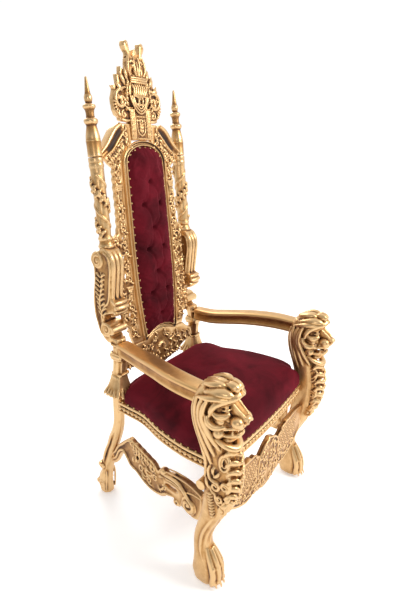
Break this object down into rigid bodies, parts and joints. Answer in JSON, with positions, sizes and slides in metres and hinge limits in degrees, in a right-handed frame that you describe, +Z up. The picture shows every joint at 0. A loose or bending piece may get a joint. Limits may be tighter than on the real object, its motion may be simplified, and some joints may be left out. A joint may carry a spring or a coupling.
{
  "type": "throne",
  "caption": "Tall carved throne chair with lion-headed legs, level arms, leaning spired posts, a crowned pierced back, a buttoned velvet pad and a domed velvet seat",
  "frame": {"origin": "on the floor, under the middle of the whole in width and depth", "axes": "+Z up, the sitter faces -Y, +X to the sitter's left, and X = 0 is the plane of symmetry"},
  "size_m": [0.8626, 0.7942, 1.823],
  "materials": {
    "gilt": "champagne gilding over carved hardwood, antiqued with brown in the hollows",
    "velvet": "short-pile burgundy velvet",
    "nail_brass": "domed upholstery nails, worn bright"
  },
  "bodies": {
    "root": {"front_leg_left": "gilt", "front_leg_right": "gilt", "rear_post_left": "gilt", "rear_post_right": "gilt", "finial_left": "gilt", "finial_right": "gilt", "arm_left": "gilt", "arm_right": "gilt", "back_frame": "gilt", "back_pad": "velvet", "back_cover": "velvet", "crest": "gilt", "gable_left": "gilt", "gable_right": "gilt", "fretwork_left": "gilt", "fretwork_right": "gilt", "apron": "gilt", "side_rail_left": "gilt", "side_rail_right": "gilt", "front_rail": "gilt", "back_rail": "gilt", "seat_cushion": "velvet", "side_stretcher_left": "gilt", "side_stretcher_right": "gilt", "front_stretcher": "gilt"}
  },
  "joints": []
}
